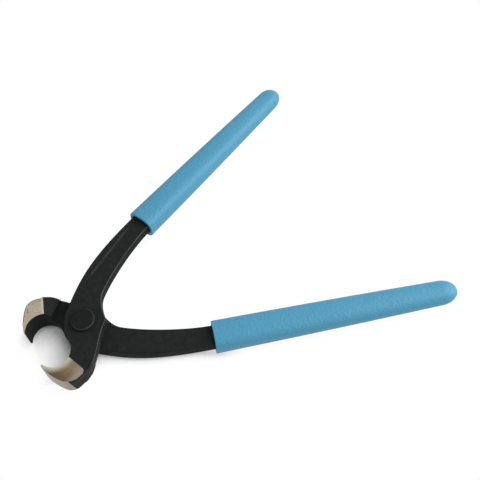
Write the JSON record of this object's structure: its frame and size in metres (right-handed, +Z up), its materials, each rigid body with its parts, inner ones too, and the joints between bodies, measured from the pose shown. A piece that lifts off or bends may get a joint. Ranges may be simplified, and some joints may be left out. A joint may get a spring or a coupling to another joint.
{
  "type": "hose clamp pliers",
  "caption": "Hose clamp pliers: blackened forged levers riveted together, with round-bite pincer jaws ground bright that squeeze the ear of a clamp, and soft blue sleeves on the handles.",
  "frame": {"origin": "where the pivot axis meets the flat underside of the rivet", "axes": "+Z up along the pivot axis, +X towards the handles along the line midway between them, +Y towards the handle of the upper lever"},
  "size_m": [0.1994, 0.1744, 0.0203],
  "materials": {
    "black_forged_steel": "satin",
    "black_rivet_steel": "satin",
    "blue_soft_pvc": "satin"
  },
  "bodies": {
    "lower_half": {"lower_lever": "black_forged_steel", "lower_grip": "blue_soft_pvc", "pivot_rivet": "black_rivet_steel"},
    "upper_half": {"upper_lever": "black_forged_steel", "upper_grip": "blue_soft_pvc"}
  },
  "joints": [
    {"name": "pivot", "type": "hinge", "parent": "lower_half", "child": "upper_half", "pos_m": [0, 0, 0.00905], "axis": [0, 0, 1], "range_deg": [-39.3, 20]}
  ]
}
